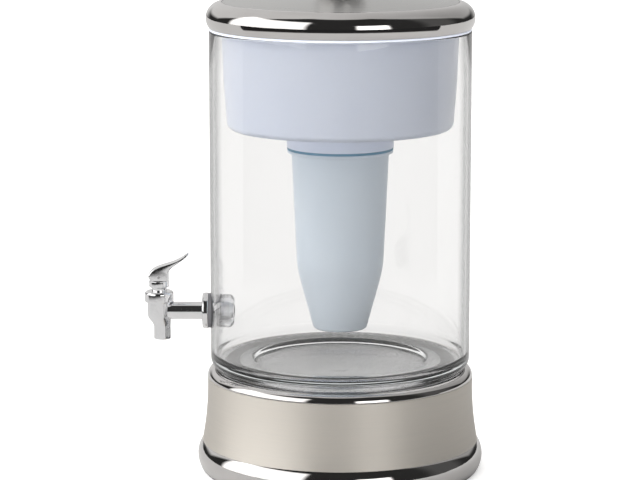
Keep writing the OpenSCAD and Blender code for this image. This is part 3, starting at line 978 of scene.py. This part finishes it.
def build_camera():
    """In front of the vessel, a little above and looking down, with the tap on the left."""
    data = bpy.data.cameras.new("camera")
    data.lens = 150.9
    data.sensor_width = 36
    data.clip_end = 60
    camera = add_object("camera", data)
    camera.location = (2.184, 0, 0.585)
    pitch = math.radians(10.2)
    yaw = math.radians(0.438)
    aim = Vector((-math.cos(pitch) * math.cos(yaw), -math.cos(pitch) * math.sin(yaw), -math.sin(pitch)))
    camera.rotation_mode = "QUATERNION"
    camera.rotation_quaternion = aim.to_track_quat("-Z", "Y")
    bpy.context.scene.camera = camera


class Room(Nodes):
    """The world's nodes."""

    def __init__(self):
        world = bpy.data.worlds.new("studio")
        world.use_nodes = True
        bpy.context.scene.world = world
        world.node_tree.nodes.clear()
        super().__init__(world.node_tree)

    def step(self, source, start, end):
        return self.span(source, 0.0, 1.0, start, end, "SMOOTHSTEP")

    def window(self, source, start, end, soft):
        """1 between start and end, with soft edges."""
        return self.math("SUBTRACT", self.step(source, start - soft, start + soft),
                         self.step(source, end - soft, end + soft))

    def panel(self, turn, rise, sides, heights, soft):
        """A soft-edged window of directions."""
        return self.times(self.window(turn, *sides, soft), self.window(rise, *heights, soft))

    def mix(self, factor, a, b):
        node = self.add("ShaderNodeMix", data_type="FLOAT")
        for name, value in (("Factor", factor), ("A", a), ("B", b)):
            self.put(node.inputs[name], value)
        return node.outputs["Result"]


def build_world():
    """A white surround for what is looked at, and a dark studio with white panels for what is reflected.

    Directions are in degrees: turn 0 is the camera's side, 90 is the picture's right, rise 0 is level."""
    room = Room()
    x, y, z = room.parts(room.add("ShaderNodeTexCoord").outputs["Generated"])
    turn = room.math("DEGREES", room.math("ARCTAN2", y, x))
    rise = room.math("DEGREES", room.math("ARCSINE", z))
    away = room.math("ABSOLUTE", turn)
    left = room.times(room.panel(turn, rise, (-108, -30), (-24, 46), 3), 1.75)
    right = room.times(room.panel(turn, rise, (14, 42), (-22, 24), 2.5), 2.7)
    side = room.times(room.panel(turn, rise, (78, 112), (-10, 60), 8), 0.07)
    backdrop = room.step(away, 146, 168)
    edge = room.span(away, 72, 8, 60, 130)
    above = room.step(room.math("SUBTRACT", rise, edge), -3, 5)
    shaded = room.span(y, 0.74, 0.38, -0.3, 0.7)
    wall = room.times(room.math("MAXIMUM", backdrop, above), shaded)
    studio = room.total(left, right, wall, side, 0.03)
    soft = room.total(room.times(y, -1.5), room.times(z, 0.25), room.times(x, 0.15), 1.5)
    path = room.add("ShaderNodeLightPath")
    bounced = room.math("ADD", path.outputs["Glossy Depth"], path.outputs["Diffuse Depth"])
    through = room.math("GREATER_THAN", path.outputs["Transmission Depth"], 0.5)
    seen = room.math("MAXIMUM", room.math("LESS_THAN", bounced, 0.5), room.times(through, 0.9))
    white = room.math("SUBTRACT", 1.0, room.times(through, 0.10))
    scattered = room.math("GREATER_THAN", path.outputs["Diffuse Depth"], 0.5)
    strength = room.mix(scattered, room.mix(seen, studio, white), soft)
    back = room.add("ShaderNodeBackground")
    back.inputs["Color"].default_value = (1.0, 0.99, 0.98, 1)
    room.link(strength, back.inputs["Strength"])
    out = room.add("ShaderNodeOutputWorld")
    room.link(back.outputs[0], out.inputs["Surface"])


def build_floor():
    """A pale table that runs out to white. It is darker in reflections, and a little darker through glass."""
    half = 14
    mesh = bpy.data.meshes.new("floor")
    corners = [(-half, -half, 0), (half, -half, 0), (half, half, 0), (-half, half, 0)]
    mesh.from_pydata(corners, [], [(0, 1, 2, 3)])
    floor = add_object("floor", mesh)
    look = Look("floor_white").set(Roughness=0.9, Specular_IOR_Level=0.0)
    x, y, _ = look.parts(look.place())
    edge = look.total(look.radius(x, y), look.span(x, -9.0, 0.0, -0.5, 0.0))
    table = look.span(edge, 1.0, 0.03, 0.85, 1.05)
    path = look.add("ShaderNodeLightPath")
    bounces = look.math("SUBTRACT", path.outputs["Glossy Depth"], path.outputs["Transmission Depth"])
    bounced = look.math("GREATER_THAN", bounces, 0.5)
    direct = look.math("SUBTRACT", 1.0, bounced)
    through = look.math("GREATER_THAN", path.outputs["Transmission Depth"], 0.5)
    lit = look.math("MINIMUM", look.span(bounced, 0.80, 0.50), look.span(through, 0.80, 0.62))
    tone = look.times(look.math("MAXIMUM", table, direct), lit)
    joined = look.add("ShaderNodeCombineColor")
    for socket in joined.inputs:
        look.link(tone, socket)
    look.link(joined.outputs[0], look.shader.inputs["Base Color"])
    look.shader.inputs["Emission Color"].default_value = (1, 1, 1, 1)
    look.link(look.times(direct, look.span(through, 0.35, 0.0)), look.shader.inputs["Emission Strength"])
    mesh.materials.append(look.material)


build_camera()
build_world()
build_floor()
place_pieces()
bpy.context.scene.view_settings.view_transform = "Standard"
